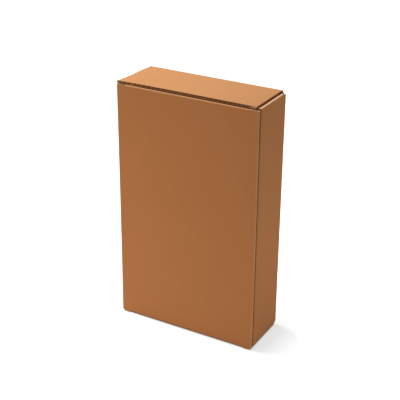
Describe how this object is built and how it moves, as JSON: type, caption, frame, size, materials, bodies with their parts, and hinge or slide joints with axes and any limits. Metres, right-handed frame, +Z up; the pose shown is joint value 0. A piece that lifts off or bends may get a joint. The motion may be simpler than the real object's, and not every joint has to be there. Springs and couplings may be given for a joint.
{
  "type": "closed cardboard mailer box",
  "caption": "Tall corrugated board mailer box, shut, standing on its hinge wall, with a tuck-in lid and rolled side walls.",
  "frame": {"origin": "under the middle of the box, on the surface it stands on", "axes": "+X across the box's width, -Y out of the lid's face, +Z up along its height"},
  "size_m": [0.203, 0.077, 0.34],
  "materials": {
    "tray_board": "matt brown kraft liner, open flutes at the cut edges",
    "lid_board": "matt brown kraft liner, pressed folds"
  },
  "bodies": {
    "tray": {"tray": "tray_board"},
    "lid": {"lid": "lid_board"}
  },
  "joints": [
    {"name": "lid_hinge", "type": "hinge", "parent": "tray", "child": "lid", "pos_m": [0, -0.0385, 0], "axis": [1, 0, 0], "range_deg": [0, 90]}
  ]
}
